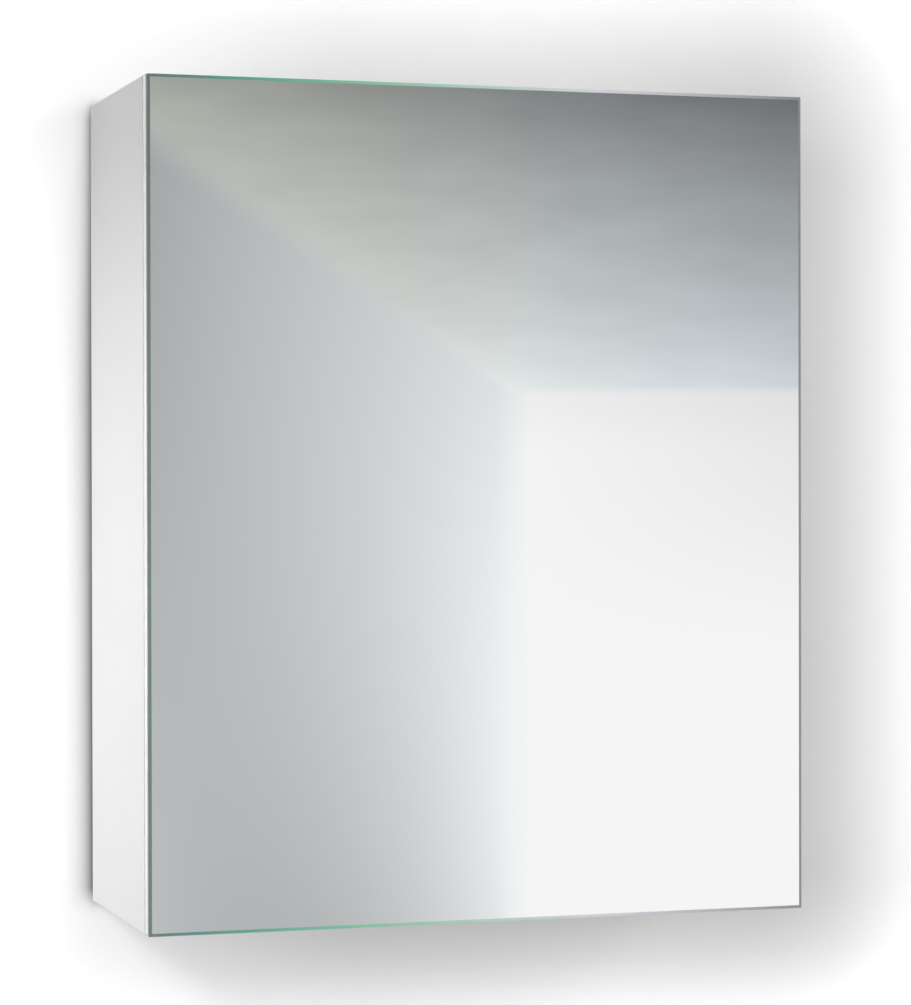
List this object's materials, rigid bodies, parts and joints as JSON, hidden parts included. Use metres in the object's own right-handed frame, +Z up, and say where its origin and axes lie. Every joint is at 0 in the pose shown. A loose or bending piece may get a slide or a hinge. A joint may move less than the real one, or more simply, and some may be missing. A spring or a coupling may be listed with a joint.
{
  "type": "mirror cabinet",
  "caption": "Wall-hung medicine cabinet: white body with glass shelves and one full-size bevelled mirror door on a continuous side hinge.",
  "frame": {"origin": "middle of the four wall screw holes, on the wall plane behind the cabinet", "axes": "+X to the right seen from the front, +Y into the wall, +Z up; the mirror faces -Y"},
  "size_m": [0.5034, 0.21, 0.61],
  "materials": {
    "lacquer": "white gloss lacquer on fibreboard",
    "back_board": "white coated hardboard",
    "beech": "raw beech",
    "zinc_steel": "zinc plated",
    "zinc_casting": "cast zinc alloy, dull",
    "nickel_steel": "nickel plated",
    "white_plastic": "white, satin",
    "hanger_plastic": "light grey, satin",
    "shelf_glass": "clear float glass with polished edges",
    "clear_silicone": "clear silicone",
    "magnet": "sintered ferrite",
    "tape": "white foam tape",
    "mirror": "silvered float glass with a polished sloped edge"
  },
  "bodies": {
    "cabinet": {"side_left": "lacquer", "side_right": "lacquer", "top_panel": "lacquer", "bottom_panel": "lacquer", "back_panel": "back_board", "dowels": "beech", "cam_bolts": "zinc_steel", "cam_discs": "zinc_casting", "cam_caps": "white_plastic", "shelf_lower": "shelf_glass", "shelf_upper": "shelf_glass", "shelf_pins": "nickel_steel", "shelf_pads": "clear_silicone", "hanger_housing_left": "hanger_plastic", "hanger_housing_right": "hanger_plastic", "hanger_hook_left": "zinc_steel", "hanger_hook_right": "zinc_steel", "hanger_adjusters": "zinc_steel", "hanger_screws": "zinc_steel", "wall_plate_left": "zinc_steel", "wall_plate_right": "zinc_steel", "catch_housing": "white_plastic", "catch_magnet": "magnet", "catch_poles": "zinc_steel", "catch_screws": "zinc_steel", "door_bumpers": "clear_silicone", "hinge_leaf_cabinet": "nickel_steel", "hinge_pin": "nickel_steel", "hinge_screws_cabinet": "nickel_steel"},
    "door": {"door_board": "lacquer", "mirror_tape": "tape", "mirror_glass": "mirror", "hinge_leaf_door": "nickel_steel", "hinge_screws_door": "nickel_steel", "catch_strike": "zinc_steel", "strike_screw": "zinc_steel"}
  },
  "joints": [
    {"name": "door_swing", "type": "hinge", "parent": "cabinet", "child": "door", "pos_m": [0.25185, -0.196, -0.221], "axis": [0, 0, 1], "range_deg": [0, 180]}
  ]
}
